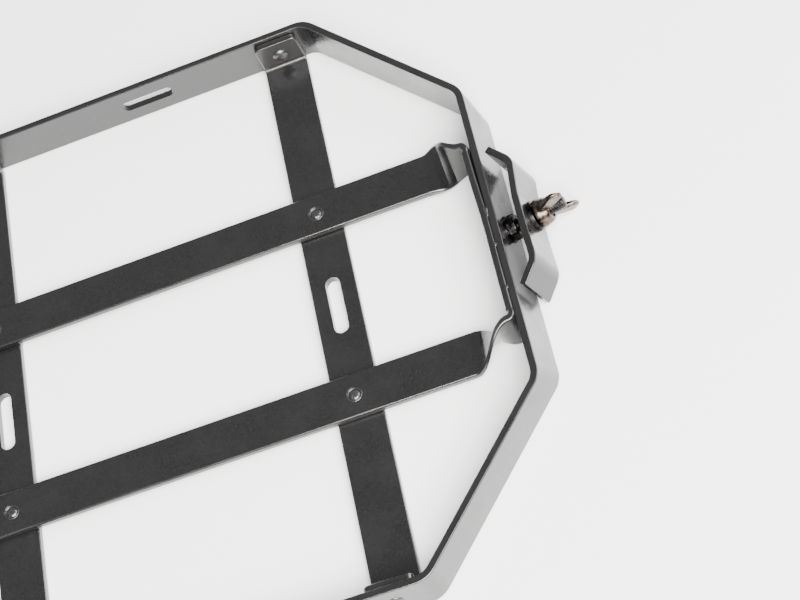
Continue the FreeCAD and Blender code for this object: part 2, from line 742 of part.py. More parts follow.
def wing_nut():
    """A tapered hub with two wings in one plane."""
    hub = primitive("Cone", "wing_hub", Radius1="wing_hub_base", Radius2="wing_hub_top",
                    Height="wing_hub_height")
    solids = [hub]
    tip_level = "(wing_height - wing_tip_radius)"
    for side, sign in (("left", ""), ("right", "-")):
        sketch = doc.addObject("Sketcher::SketchObject", f"wing_{side}_outline")
        sketch.Placement = FreeCAD.Placement(V(0, 0, 0), FreeCAD.Rotation(X_AXIS, 90))
        outline = [("wing_root", "wing_foot"), ("wing_hub_base", "wing_foot"),
                   ("wing_tip_reach + wing_tip_radius * cos(wing_outer_edge)",
                    f"{tip_level} - wing_tip_radius * sin(wing_outer_edge)"),
                   ("wing_tip_reach + wing_tip_radius * cos(wing_inner_edge)",
                    f"{tip_level} + wing_tip_radius * sin(wing_inner_edge)"),
                   ("wing_root", "wing_hub_height")]
        polygon(sketch, [(f"{sign}({x})", z) for x, z in outline])
        blade = doc.addObject("Part::Extrusion", f"wing_{side}_blade")
        blade.Base = sketch
        blade.DirMode = "Custom"
        blade.Dir = Y_AXIS
        blade.Solid = True
        blade.Symmetric = True
        bind(blade, "LengthFwd", "wing_thick")
        tip = primitive("Cylinder", f"wing_{side}_tip", Radius="wing_tip_radius", Height="wing_thick")
        reach = value(f"{sign}wing_tip_reach")
        tip.Placement = FreeCAD.Placement(V(reach, dim("wing_thick") / 2, value(tip_level)),
                                          FreeCAD.Rotation(X_AXIS, 90))
        solids += [blade, tip]
    whole = doc.addObject("Part::MultiFuse", "wing_nut_solid")
    whole.Shapes = solids
    bore = primitive("Cylinder", "wing_nut_bore", Radius="stud_radius + hole_play", Height="wing_height")
    seat = dim("clamp_seat") + dim("washer_thick") + dim("nut_gap")
    turn = FreeCAD.Placement(V(0, 0, 0), FreeCAD.Rotation(Z_AXIS, dim("wing_turn")))
    seated = clamp_place(V(seat, dim("screw_offset"), 0), along_x=True)
    cut("wing_nut", whole, bore, seated.multiply(turn))


# ---------------------------------------------------------------- hinge
PIN_X = "(-frame_length / 2 - hinge_offset)"
PIN_Z = "bar_height / 2"


def pin_hole(body, name):
    """A hole for the hinge pin, all the way across."""
    sketch = new_sketch(body, f"{name}_pin_place", "XZ_Plane")
    circle(sketch, PIN_X, PIN_Z, "pin_radius + pin_play")
    pocket(body, sketch, f"{name}_pin_hole", "frame_width")


def hinge_lug(side, sign):
    """A foot riveted to the rear band and an ear round the pin, whose heel stops the hinge when flat."""
    name = f"hinge_lug_{side}"
    body = new_body(name)
    band = "(-frame_length / 2)"
    heel = f"({PIN_X} - heel_reach)"
    lift = f"{sign}(lug_outer - bar_thick / 2)"
    ear = body.newObject("Sketcher::SketchObject", f"{name}_ear_outline")
    ear.AttachmentSupport = [(plane(body, "XZ_Plane"), "")]
    ear.MapMode = "FlatFace"
    bind(ear, "AttachmentOffset.Base.z", f"-({lift})")
    polygon(ear, [(band, "0"), (band, "bar_height"), (f"{PIN_X} - lug_shoulder", "bar_height"),
                  (heel, "heel_top"), (heel, "heel_chamfer"), (f"{heel} + heel_chamfer", "0")])
    pad(body, ear, f"{name}_ear", "bar_thick")
    foot = new_sketch(body, f"{name}_foot_outline", "XY_Plane")
    inner = f"{sign}(lug_outer - lug_foot)"
    outer = f"{sign}lug_outer"
    polygon(foot, [(band, inner), (band, outer), (f"{band} - bar_thick", outer), (f"{band} - bar_thick", inner)])
    pad(body, foot, f"{name}_foot", "bar_height", symmetric=False)
    shape = body.Shape
    shoulder = value(f"{PIN_X} - lug_shoulder")
    top = dim("bar_height")
    nose = edges_at(shape, lambda point: abs(point.x - shoulder) < 0.01 and abs(point.z - top) < 0.01)
    round_edges(body, f"{name}_nose", bends_along(shape, nose, Y_AXIS), "lug_nose")
    rivets = new_sketch(body, f"{name}_rivet_places", "YZ_Plane", "-frame_length / 2")
    for lift in ("", "-"):
        circle(rivets, f"{sign}lug_rivet_offset", f"bar_height / 2 + {lift}lug_rivet_spacing / 2",
               "tab_rivet_radius + hole_play")
    pocket(body, rivets, f"{name}_rivet_holes", "2 * bar_height")
    pin_hole(body, name)
    return keep(body, name)


def hinge_bracket():
    """A back plate with two ears bent forwards at its sides."""
    body = new_body("hinge_bracket")
    front = f"({PIN_X} - heel_reach - heel_gap)"
    back = f"({front} - bar_thick)"
    nose = f"({PIN_X} + bar_height / 2)"
    outer = "(ear_inner + bar_thick)"
    plate = new_sketch(body, "bracket_plate_outline", "XY_Plane")
    polygon(plate, [(back, f"-{outer}"), (front, f"-{outer}"), (front, outer), (back, outer)])
    pad(body, plate, "bracket_plate", "bracket_height", symmetric=False)
    for sign in ("", "-"):
        ear = new_sketch(body, f"bracket_ear_outline{len(sign)}", "XY_Plane")
        polygon(ear, [(back, f"{sign}ear_inner"), (nose, f"{sign}ear_inner"),
                      (nose, f"{sign}{outer}"), (back, f"{sign}{outer}")])
        pad(body, ear, f"bracket_ear{len(sign)}", "bar_height", symmetric=False)
    tip = value(nose)
    picked = bends_along(body.Shape, edges_at(body.Shape, lambda point: abs(point.x - tip) < 0.01), Y_AXIS)
    round_edges(body, "bracket_ear_noses", picked, "ear_nose")
    high = dim("bracket_height")
    picked = bends_along(body.Shape, edges_at(body.Shape, lambda point: abs(point.z - high) < 0.01), X_AXIS)
    round_edges(body, "bracket_corners", picked, "bracket_corner")
    bolts = new_sketch(body, "bracket_bolt_places", "YZ_Plane", back)
    for wide in ("", "-"):
        for tall in ("", "-"):
            circle(bolts, f"{wide}bracket_hole_wide / 2", f"bracket_hole_level + {tall}bracket_hole_high / 2",
                   "bracket_hole")
    pocket(body, bolts, "bracket_bolt_holes", "bar_height")
    pin_hole(body, "bracket")
    return keep(body, "hinge_bracket")


def hinge_pin():
    """The pin with its head, the washers on it and the split pin that keeps it."""
    outer = dim("ear_inner") + dim("bar_thick")
    x = value(PIN_X)
    z = value(PIN_Z)
    shank = primitive("Cylinder", "pin_shank", Radius="pin_radius",
                      Height="2 * (ear_inner + bar_thick) + pin_tail + pin_head_thick")
    head = primitive("Cylinder", "pin_head", Radius="pin_head", Height="pin_head_thick")
    whole = doc.addObject("Part::Fuse", "pin_solid")
    whole.Base = shank
    whole.Tool = head
    cross = primitive("Cylinder", "pin_cross_hole", Radius="split_radius + hole_play", Height="pin_head * 4")
    start = -outer - dim("pin_head_thick")
    split_y = outer + dim("split_level")
    cross.Placement = FreeCAD.Placement(V(-2 * dim("pin_head"), 0, split_y - start), FreeCAD.Rotation(Y_AXIS, 90))
    along = FreeCAD.Placement(V(x, start, z), FreeCAD.Rotation(X_AXIS, -90).multiply(FreeCAD.Rotation(Z_AXIS, 90)))
    cut("hinge_pin", whole, cross, along)
    washer = primitive("Cylinder", "pin_washer_disc", Radius="pin_washer_radius", Height="pin_washer_thick")
    bore = primitive("Cylinder", "pin_washer_bore", Radius="pin_radius + pin_play", Height="pin_washer_thick")
    blank = doc.addObject("Part::Cut", "pin_washer")
    blank.Base = washer
    blank.Tool = bore
    thick = dim("pin_washer_thick")
    play = dim("pin_washer_play")
    inner = dim("ear_inner") - play - thick
    places = [at(V(x, inner, z), Y_AXIS), at(V(x, -inner, z), Y_AXIS * -1), at(V(x, outer + play, z), Y_AXIS)]
    group("pin_washers", blank, places)
    leg = primitive("Cylinder", "split_leg", Radius="split_radius", Height="split_length")
    eye = primitive("Torus", "split_eye", Radius1="split_eye", Radius2="split_radius")
    eye.Placement = FreeCAD.Placement(V(0, 0, dim("split_length") + dim("split_eye_lift")),
                                      FreeCAD.Rotation(X_AXIS, 90))
    split = doc.addObject("Part::Fuse", "split_pin")
    split.Base = leg
    split.Tool = eye
    split.Placement = FreeCAD.Placement(V(x, split_y, z - dim("split_length") / 2), FreeCAD.Rotation())
    keep(split, "split_pin")


outer_frame()
slat_loop()
for number, place in enumerate(("strap_pitch", "0", "-strap_pitch"), start=1):
    cross_strap(number, place)
slat_rivets()
band_rivets()
clamp_plate()
clamp_screw()
wing_nut()
hinge_lug("left", "")
hinge_lug("right", "-")
hinge_bracket()
hinge_pin()
doc.recompute()

for obj in doc.Objects:
    if "Invalid" in obj.State or "Error" in obj.State:
        raise ValueError(f"{obj.Name} failed: {obj.State}")
os.makedirs("parts", exist_ok=True)
for part in PARTS:
    if part.Shape.isNull() or not part.Shape.isValid():
        raise ValueError(f"{part.Label} has no valid shape")
for part in PARTS:
    part.Shape.exportStep(f"parts/{part.Label}.step")
    print(part.Label, len(part.Shape.Solids), round(part.Shape.Volume, 1))
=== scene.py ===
"""Folding luggage rack: black powder-coated flat bar, plated screws, pale studio.

Metres, in the frame's axes: +X to the clamp end, +Z up from the platform's underside. Lengths are
written in millimetres and turned into metres by MM.
"""
import bmesh
import bpy
import math
from mathutils import Matrix, Vector


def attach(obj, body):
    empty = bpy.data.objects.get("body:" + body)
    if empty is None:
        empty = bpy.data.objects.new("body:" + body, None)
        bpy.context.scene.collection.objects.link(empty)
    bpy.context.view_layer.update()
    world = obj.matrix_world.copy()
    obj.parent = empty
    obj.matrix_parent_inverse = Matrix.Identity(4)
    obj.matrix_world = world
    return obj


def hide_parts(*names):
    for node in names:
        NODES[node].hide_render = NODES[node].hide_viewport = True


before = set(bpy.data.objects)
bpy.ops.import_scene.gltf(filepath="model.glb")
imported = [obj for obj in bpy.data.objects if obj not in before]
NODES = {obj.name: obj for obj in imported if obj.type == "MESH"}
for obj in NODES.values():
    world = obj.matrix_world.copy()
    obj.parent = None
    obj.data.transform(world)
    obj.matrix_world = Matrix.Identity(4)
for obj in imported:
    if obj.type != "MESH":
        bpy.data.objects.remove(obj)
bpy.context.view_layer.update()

MM = 0.001
X_AXIS = Vector((1, 0, 0))
Y_AXIS = Vector((0, 1, 0))
Z_AXIS = Vector((0, 0, 1))

# ---------------------------------------------------------------- sizes, mm
BAR_HEIGHT = 20.0
BAR_THICK = 3.2
STRAP_BEND = 2.4
HALF_LENGTH = 229.0
HALF_WIDTH = 140.5
LEAN = math.radians(15)
STRAP_PITCH = 153.0
SLAT_OFFSET = 46.0
LOOP_OFFSET = 43.8
LOOP_BEND = 4.0
LOOP_LEVEL = 10.25
LOOP_GAP = 0.9
TWIST_START = 203.0
STUD_RADIUS = 3.0
STUD_END = 26.2
CLAMP_SEAT = 11.6
NUT_SEAT = 13.8
SCREW_OFFSET = 2.0
SLAT_END_LEVEL = 13.0
PIN_X = -241.0
EAR_OUTER = 39.2
TAB_HEIGHT = 18.0
PLAY = 0.05
LUG_RIVET_OFFSET = 22.0
LUG_RIVET_LIFT = 4.5
RIVET_SOLE = -6.3
WING_TURN = math.radians(17)
TOOTH_TIP = 6.0
TOOTH_ROOT = 4.7
TOOTH_BORE = 3.1
NUT_BORE = 3.06

LEAN_X = Vector((math.cos(LEAN), 0, math.sin(LEAN)))
LEAN_Z = Vector((-math.sin(LEAN), 0, math.cos(LEAN)))
CLAMP_ORIGIN = Vector((HALF_LENGTH + BAR_HEIGHT / 2 * math.tan(LEAN), 0, BAR_HEIGHT / 2))


def clamp_point(out, across, up):
    """Millimetres outwards from the clamp end's face, across it and up it."""
    return CLAMP_ORIGIN + LEAN_X * out + Y_AXIS * across + LEAN_Z * up


def round_point(radius, turn, height):
    """A point at a radius, an angle and a height, millimetres in, metres out."""
    return Vector((radius * math.cos(turn), radius * math.sin(turn), height)) * MM


def smooth(share):
    share = min(max(share, 0.0), 1.0)
    return share * share * (3 - 2 * share)


# ---------------------------------------------------------------- materials
def material(name):
    """An empty node material, its shader and a function that adds and links nodes."""
    made = bpy.data.materials.new(name)
    made.use_nodes = True
    tree = made.node_tree
    tree.nodes.clear()
    output = tree.nodes.new("ShaderNodeOutputMaterial")
    shader = tree.nodes.new("ShaderNodeBsdfPrincipled")
    tree.links.new(shader.outputs["BSDF"], output.inputs["Surface"])
    return made, tree, shader


def noise(tree, coords, scale, detail=3.0, rough=0.55):
    node = tree.nodes.new("ShaderNodeTexNoise")
    node.inputs["Scale"].default_value = scale
    node.inputs["Detail"].default_value = detail
    node.inputs["Roughness"].default_value = rough
    tree.links.new(coords, node.inputs["Vector"])
    return node.outputs["Fac"]


def ramp(tree, source, low, high, start=0.35, end=0.65):
    """A two-colour ramp; low and high are grey levels or colours."""
    node = tree.nodes.new("ShaderNodeValToRGB")
    tree.links.new(source, node.inputs["Fac"])
    for element, position, level in zip(node.color_ramp.elements, (start, end), (low, high)):
        element.position = position
        element.color = (*level, 1) if isinstance(level, tuple) else (level, level, level, 1)
    return node.outputs["Color"]


def bump(tree, shader, heights):
    """Chained bumps from (height, strength, distance in metres)."""
    last = None
    for height, strength, distance in heights:
        node = tree.nodes.new("ShaderNodeBump")
        node.inputs["Strength"].default_value = strength
        node.inputs["Distance"].default_value = distance
        tree.links.new(height, node.inputs["Height"])
        if last:
            tree.links.new(last, node.inputs["Normal"])
        last = node.outputs["Normal"]
    tree.links.new(last, shader.inputs["Normal"])


def powder_coat(name, dark, light, rough_low, rough_high):
    """Satin black powder coat: fine orange-peel grain, specks and faint worn patches."""
    made, tree, shader = material(name)
    coords = tree.nodes.new("ShaderNodeTexCoord").outputs["Object"]
    fine = noise(tree, coords, 2600, 2)
    peel = noise(tree, coords, 700, 2)
    wide = noise(tree, coords, 60, 4)
    tree.links.new(ramp(tree, fine, dark, light, 0.40, 0.70), shader.inputs["Base Color"])
    tree.links.new(ramp(tree, wide, rough_low, rough_high), shader.inputs["Roughness"])
    shader.inputs["IOR"].default_value = 1.55
    shader.inputs["Coat Weight"].default_value = 0.6
    shader.inputs["Coat Roughness"].default_value = 0.14
    bump(tree, shader, [(peel, 0.08, 0.0004), (fine, 0.12, 0.00012)])
    return made


def plated(name, dark, light, rough_low, rough_high):
    """Dark passivated steel: metallic, mottled between the given dark and light colours."""
    made, tree, shader = material(name)
    coords = tree.nodes.new("ShaderNodeTexCoord").outputs["Object"]
    mottled = noise(tree, coords, 420, 4)
    grain = noise(tree, coords, 2200, 2)
    tree.links.new(ramp(tree, mottled, dark, light), shader.inputs["Base Color"])
    tree.links.new(ramp(tree, mottled, rough_low, rough_high), shader.inputs["Roughness"])
    shader.inputs["Metallic"].default_value = 1.0
    bump(tree, shader, [(mottled, 0.10, 0.0003), (grain, 0.12, 0.0001)])
    return made


COAT = powder_coat("black_powder_coat", (0.0030, 0.0030, 0.0033), (0.012, 0.012, 0.0128), 0.24, 0.36)
RIVET = powder_coat("rivet_black", (0.005, 0.005, 0.0055), (0.024, 0.024, 0.025), 0.28, 0.42)
WELD = powder_coat("weld_black", (0.006, 0.006, 0.0065), (0.03, 0.03, 0.03), 0.25, 0.45)
ZINC = plated("bronze_plated_steel", (0.030, 0.022, 0.017), (0.16, 0.125, 0.10), 0.16, 0.34)
PIN_ZINC = plated("grey_plated_steel", (0.07, 0.068, 0.066), (0.20, 0.195, 0.19), 0.20, 0.38)
STEEL_DARK = plated("blackened_steel", (0.010, 0.010, 0.010), (0.045, 0.042, 0.04), 0.22, 0.42)


# ---------------------------------------------------------------- mesh helpers
def finish_piece(piece, body, look, replaced=()):
    """Give a piece its material, its body and the nodes it stands for."""
    piece.data.materials.clear()
    piece.data.materials.append(look)
    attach(piece, body)
    if replaced:
        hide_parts(*replaced)
    return piece


def shade(mesh, degrees=35):
    """Smooth shading with sharp edges kept."""
    for polygon in mesh.polygons:
        polygon.use_smooth = True
    mesh.set_sharp_from_angle(angle=math.radians(degrees))


def piece_from(name, tool, degrees=35):
    """A linked object from a bmesh."""
    bmesh.ops.recalc_face_normals(tool, faces=tool.faces)
    mesh = bpy.data.meshes.new(name)
    tool.to_mesh(mesh)
    tool.free()
    shade(mesh, degrees)
    piece = bpy.data.objects.new(name, mesh)
    bpy.context.scene.collection.objects.link(piece)
    return piece


def round_rectangle(width, thick, radius, steps=4):
    """Outline points of a rectangle with round corners, as (across, through)."""
    points = []
    corners = ((1, 1, 0), (-1, 1, 90), (-1, -1, 180), (1, -1, 270))
    for side, face, start in corners:
        for step in range(steps + 1):
            turn = math.radians(start + 90 * step / steps)
            points.append((side * (width / 2 - radius) + radius * math.cos(turn),
                           face * (thick / 2 - radius) + radius * math.sin(turn)))
    return points


def sweep(tool, stations, outline):
    """A closed bar through (middle, along, across) stations, millimetres in, metres out."""
    rings = []
    for middle, along, across in stations:
        normal = along.cross(across).normalized()
        rings.append([tool.verts.new((middle + across * a + normal * t) * MM) for a, t in outline])
    count = len(outline)
    for ring, following in zip(rings, rings[1:]):
        for i in range(count):
            tool.faces.new((ring[i], ring[(i + 1) % count], following[(i + 1) % count], following[i]))
    tool.faces.new(rings[0][::-1])
    tool.faces.new(rings[-1])


def lathe(tool, profile, matrix, steps=48, closed=False):
    """Revolve (radius, height) points, millimetres, about the matrix's Z."""
    rings = []
    for radius, height in profile:
        if radius < 1e-6:
            rings.append([tool.verts.new(matrix @ Vector((0, 0, height * MM)))])
            continue
        ring = []
        for step in range(steps):
            turn = math.tau * step / steps
            ring.append(tool.verts.new(matrix @ round_point(radius, turn, height)))
        rings.append(ring)
    pairs = list(zip(rings, rings[1:]))
    if closed:
        pairs.append((rings[-1], rings[0]))
    for low, high in pairs:
        for i in range(steps):
            j = (i + 1) % steps
            if len(low) == 1:
                tool.faces.new((low[0], high[j], high[i]))
            elif len(high) == 1:
                tool.faces.new((low[i], low[j], high[0]))
            else:
                tool.faces.new((low[i], low[j], high[j], high[i]))


def frame_at(origin, z_axis, x_hint=X_AXIS):
    """A matrix whose Z runs along z_axis, origin in millimetres."""
    z_axis = z_axis.normalized()
    y_axis = z_axis.cross(x_hint).normalized()
    x_axis = y_axis.cross(z_axis)
    turned = Matrix((x_axis, y_axis, z_axis)).transposed().to_4x4()
    return Matrix.Translation(origin * MM) @ turned


def bevelled(piece, width, segments=3, degrees=40):
    """Rounded edges on sharp corners."""
    modifier = piece.modifiers.new("edges", "BEVEL")
    modifier.width = width * MM
    modifier.segments = segments
    modifier.limit_method = "ANGLE"
    modifier.angle_limit = math.radians(degrees)
    modifier.harden_normals = True


# ---------------------------------------------------------------- slat loop
def loop_half(side, gap):
    """Stations of a slat's twist, bend and half bar; the same path as the frame's own."""
    out = Y_AXIS * side
    reach = LOOP_OFFSET - LOOP_BEND
    depth = 1.5 * BAR_THICK
    corner = clamp_point(-depth - gap, side * reach, (depth + gap) * math.tan(LEAN)) - X_AXIS * LOOP_BEND
    corner.z = LOOP_LEVEL
    start = Vector((TWIST_START, side * SLAT_OFFSET, depth))
    end = corner + out * LOOP_BEND
    stations = []
    for i in range(41):
        share = smooth(i / 40)
        climb = smooth(1.35 * i / 40)
        middle = Vector((start.x + (end.x - start.x) * i / 40, start.y + (end.y - start.y) * share,
                         start.z + (end.z - start.z) * climb))
        turn = math.radians(90) * share
        stations.append((middle, X_AXIS, out * math.cos(turn) + Z_AXIS * math.sin(turn)))
    for i in range(1, 17):
        turn = math.radians(90) * i / 16
        along = X_AXIS * math.cos(turn) - out * math.sin(turn)
        tilt = LEAN * smooth(i / 16)
        across = Z_AXIS * math.cos(tilt) + along.cross(Z_AXIS) * side * math.sin(tilt)
        middle = corner + (out * math.cos(turn) + X_AXIS * math.sin(turn)) * LOOP_BEND
        stations.append((middle, along, across))
    last = corner + X_AXIS * LOOP_BEND
    lift = last - clamp_point(-depth - gap, side * reach, (depth + gap) * math.tan(LEAN))
    for i in range(1, 13):
        share = 1 - i / 12
        inset = depth + PLAY + (gap - PLAY) * smooth(share)
        middle = clamp_point(-inset, side * reach * share, inset * math.tan(LEAN)) + lift * smooth(share)
        stations.append((middle, out * -1, LEAN_Z))
    return stations


def slat_tail(side):
    """Stations of the straight slat from its upturned rear end to the twist."""
    rear = -HALF_LENGTH + BAR_THICK + BAR_THICK / 2
    level = 1.5 * BAR_THICK
    radius = STRAP_BEND + BAR_THICK / 2
    y = side * SLAT_OFFSET
    across = Y_AXIS * side
    stations = [(Vector((rear, y, TAB_HEIGHT)), -Z_AXIS, across),
                (Vector((rear, y, level + radius)), -Z_AXIS, across)]
    for i in range(1, 11):
        turn = math.radians(90) * i / 10
        middle = Vector((rear + radius - radius * math.cos(turn), y,
                         level + radius - radius * math.sin(turn)))
        along = X_AXIS * math.sin(turn) - Z_AXIS * math.cos(turn)
        stations.append((middle, along, across))
    for x in (-160, -80, 0, 80, 160):
        stations.append((Vector((x, y, level)), X_AXIS, across))
    return stations


def slat_loop():
    """Both slats and the bar that joins them: one bent and twisted strip."""
    left = slat_tail(1) + loop_half(1, LOOP_GAP)
    right = slat_tail(-1) + loop_half(-1, PLAY)
    chain = left + [(middle, along * -1, across) for middle, along, across in reversed(right[:-1])]
    tool = bmesh.new()
    sweep(tool, chain, round_rectangle(BAR_HEIGHT, BAR_THICK, 0.9, 5))
    piece = piece_from("slat_loop_strip", tool, 50)
    cutter = bmesh.new()
    for number in (-1, 0, 1):
        for side in (1, -1):
            place = Vector((number * STRAP_PITCH, side * SLAT_OFFSET, 2 * BAR_THICK))
            sink = [(0, -1.0), (2.6, -1.0), (3.45, 0.0), (3.7, 0.6), (0, 0.6)]
            lathe(cutter, sink, frame_at(place, Z_AXIS))
    countersink(piece, cutter)
    flat_faces_first(piece)
    finish_piece(piece, "platform", COAT, ["slat_loop"])


def countersink(piece, cutter):
    """Cut the cutter's shapes out of a piece and keep the result in its mesh."""
    tool = piece_from("cutter", cutter)
    modifier = piece.modifiers.new("cut", "BOOLEAN")
    modifier.object = tool
    modifier.operation = "DIFFERENCE"
    modifier.solver = "EXACT"
    bpy.context.view_layer.update()
    graph = bpy.context.evaluated_depsgraph_get()
    mesh = bpy.data.meshes.new_from_object(piece.evaluated_get(graph))
    piece.modifiers.clear()
    piece.data = mesh
    shade(mesh, 35)
    bpy.data.objects.remove(tool)


def flat_faces_first(piece):
    """Normals weighted by face area, so that flats shade flat beside their round edges."""
    modifier = piece.modifiers.new("normals", "WEIGHTED_NORMAL")
    modifier.keep_sharp = True


# ---------------------------------------------------------------- rivets
def peened_head(tool, place, seed):
    """A sunk rivet: a ring in its countersink and a star-peened dome in the middle."""
    steps = 72
    spokes = 8
    rings = [(3.35, -0.10), (3.22, 0.02), (2.95, 0.06), (2.66, 0.0), (2.50, -0.35), (2.36, -0.30),
             (2.15, 0.20), (1.75, 0.38), (1.20, 0.47), (0.60, 0.50)]
    made = []
    for radius, height in rings:
        ring = []
        for step in range(steps):
            turn = math.tau * step / steps
            ridge = max(0.0, 1 - abs(radius - 1.6) / 1.4)
            wave = math.cos(spokes * turn + seed) * 0.5 + math.cos(3 * turn + 2 * seed) * 0.25
            lift = height + 0.13 * ridge * wave
            ring.append(tool.verts.new(place @ round_point(radius, turn, lift)))
        made.append(ring)
    for outer, inner in zip(made, made[1:]):
        for i in range(steps):
            j = (i + 1) % steps
            tool.faces.new((outer[i], outer[j], inner[j], inner[i]))
    tip = tool.verts.new(place @ Vector((0, 0, 0.46 * MM)))
    for i in range(steps):
        tool.faces.new((made[-1][i], made[-1][(i + 1) % steps], tip))
    base = tool.verts.new(place @ Vector((0, 0, RIVET_SOLE * MM)))
    foot = []
    for step in range(steps):
        turn = math.tau * step / steps
        foot.append(tool.verts.new(place @ round_point(2.5, turn, -1.0)))
    sole = []
    for step in range(steps):
        turn = math.tau * step / steps
        sole.append(tool.verts.new(place @ round_point(2.5, turn, RIVET_SOLE)))
    for low_ring, high_ring in ((foot, made[0]), (sole, foot)):
        for i in range(steps):
            j = (i + 1) % steps
            tool.faces.new((low_ring[i], low_ring[j], high_ring[j], high_ring[i]))
    for i in range(steps):
        tool.faces.new((base, sole[(i + 1) % steps], sole[i]))


def slat_rivets():
    tool = bmesh.new()
    for number in (-1, 0, 1):
        for side in (1, -1):
            place = frame_at(Vector((number * STRAP_PITCH, side * SLAT_OFFSET, 2 * BAR_THICK)), Z_AXIS)
            peened_head(tool, place, 1.7 * number + side)
    piece = piece_from("peened_rivets", tool, 60)
    finish_piece(piece, "platform", RIVET, ["slat_rivets"])


DOME = [(0, -1.8), (0.8, -1.76), (1.6, -1.60), (2.3, -1.30), (2.9, -0.88), (3.3, -0.42), (3.45, -0.12),
        (3.5, 0.0), (2.0, 0.0), (2.0, 6.4), (3.5, 6.4), (3.42, 6.6), (3.0, 6.9), (2.2, 7.15), (1.1, 7.28),
        (0, 7.3)]


def dome_rivets(name, places, node):
    """Domed rivets gripping two bars, heads first."""
    tool = bmesh.new()
    for origin, axis in places:
        lathe(tool, DOME, frame_at(origin, axis, Z_AXIS), 40)
    finish_piece(piece_from(name, tool, 50), "platform", RIVET, [node])


def band_rivets():
    grip = 2 * BAR_THICK
    level = BAR_HEIGHT / 2
    tabs = [(Vector((number * STRAP_PITCH, side * (HALF_WIDTH - grip), level)), Y_AXIS * side)
            for number in (-1, 0, 1) for side in (1, -1)]
    dome_rivets("tab_rivet_heads", tabs, "tab_rivets")
    ends = [(Vector((-HALF_LENGTH + grip, side * SLAT_OFFSET, SLAT_END_LEVEL)), -X_AXIS) for side in (1, -1)]
    dome_rivets("slat_end_rivet_heads", ends, "slat_end_rivets")
    lugs = [(Vector((-HALF_LENGTH - BAR_THICK, side * LUG_RIVET_OFFSET, level + lift * LUG_RIVET_LIFT)),
             X_AXIS)
            for side in (1, -1) for lift in (1, -1)]
    dome_rivets("lug_rivet_heads", lugs, "lug_rivets")


# ---------------------------------------------------------------- clamp screw
def threaded_stud():
    """An M6 thread as a helical ridge, with a chamfered end."""
    pitch = 1.0
    start = -2 * BAR_THICK
    length = STUD_END - start
    steps = 28
    place = frame_at(clamp_point(start, SCREW_OFFSET, 0), LEAN_X, Z_AXIS)
    tool = bmesh.new()
    rows = []
    levels = int(length / pitch * 6)
    for row in range(levels + 1):
        height = length * row / levels
        ring = []
        for step in range(steps):
            turn = math.tau * step / steps
            phase = (height / pitch - step / steps) % 1.0
            radius = STUD_RADIUS - 0.55 * abs(2 * phase - 1)
            taper = min(height, length - height)
            radius = min(radius, STUD_RADIUS - 0.9 + taper)
            ring.append(tool.verts.new(place @ round_point(radius, turn, height)))
        rows.append(ring)
    for low, high in zip(rows, rows[1:]):
        for i in range(steps):
            j = (i + 1) % steps
            tool.faces.new((low[i], low[j], high[j], high[i]))
    tool.faces.new(rows[0][::-1])
    tool.faces.new(rows[-1])
    finish_piece(piece_from("threaded_stud", tool, 80), "platform", STEEL_DARK, ["clamp_stud"])


def toothed_washer():
    """A ring with twisted outer teeth."""
    tool = bmesh.new()
    place = frame_at(clamp_point(0.05, SCREW_OFFSET, 0), LEAN_X, Z_AXIS)
    teeth = 12
    steps = teeth * 6
    outline = []
    for step in range(steps):
        part = (step % 6) / 6
        on_tooth = part < 0.5
        radius = TOOTH_TIP if on_tooth else TOOTH_ROOT
        skew = (part - 0.25) * 1.2 if on_tooth else 0.0
        outline.append((radius, skew))
    tops = []
    for level in (0.05, 0.85):
        outer = []
        inner = []
        for step, (radius, skew) in enumerate(outline):
            turn = math.tau * step / steps
            up = min(max(level + skew * 0.3, 0.0), 0.9)
            outer.append(tool.verts.new(place @ round_point(radius, turn, up)))
            inner.append(tool.verts.new(place @ round_point(TOOTH_BORE, turn, level)))
        tops.append((outer, inner))
    for i in range(steps):
        j = (i + 1) % steps
        (low_out, low_in), (high_out, high_in) = tops
        tool.faces.new((low_out[i], low_in[i], low_in[j], low_out[j]))
        tool.faces.new((high_out[i], high_out[j], high_in[j], high_in[i]))
        tool.faces.new((low_out[i], low_out[j], high_out[j], high_out[i]))
        tool.faces.new((low_in[i], high_in[i], high_in[j], low_in[j]))
    finish_piece(piece_from("toothed_ring", tool, 30), "platform", STEEL_DARK, ["tooth_washer"])


def hex_nut():
    """The hexagon nut on the stud, chamfered top and bottom."""
    tool = bmesh.new()
    place = frame_at(clamp_point(0.95, SCREW_OFFSET, 0), LEAN_X, Z_AXIS)
    flats = 5.0
    height = 3.5
    steps = 72
    rings = []
    for level, limit in ((0.0, 4.95), (0.35, 5.6), (height - 0.45, 5.6), (height, 4.9)):
        ring = []
        for step in range(steps):
            turn = math.tau * step / steps
            face = (turn % (math.tau / 6)) - math.tau / 12
            radius = min(flats / math.cos(face), limit)
            ring.append(tool.verts.new(place @ round_point(radius, turn, level)))
        rings.append(ring)
    bores = []
    for level in (0.0, height):
        bores.append([tool.verts.new(place @ round_point(NUT_BORE, math.tau * step / steps, level))
                      for step in range(steps)])
    loops = [bores[0], *rings, bores[1]]
    for low, high in zip(loops, loops[1:]):
        for i in range(steps):
            j = (i + 1) % steps
            tool.faces.new((low[i], low[j], high[j], high[i]))
    for i in range(steps):
        j = (i + 1) % steps
        tool.faces.new((bores[1][i], bores[1][j], bores[0][j], bores[0][i]))
    finish_piece(piece_from("hexagon_nut", tool, 25), "platform", STEEL_DARK, ["stud_nut"])


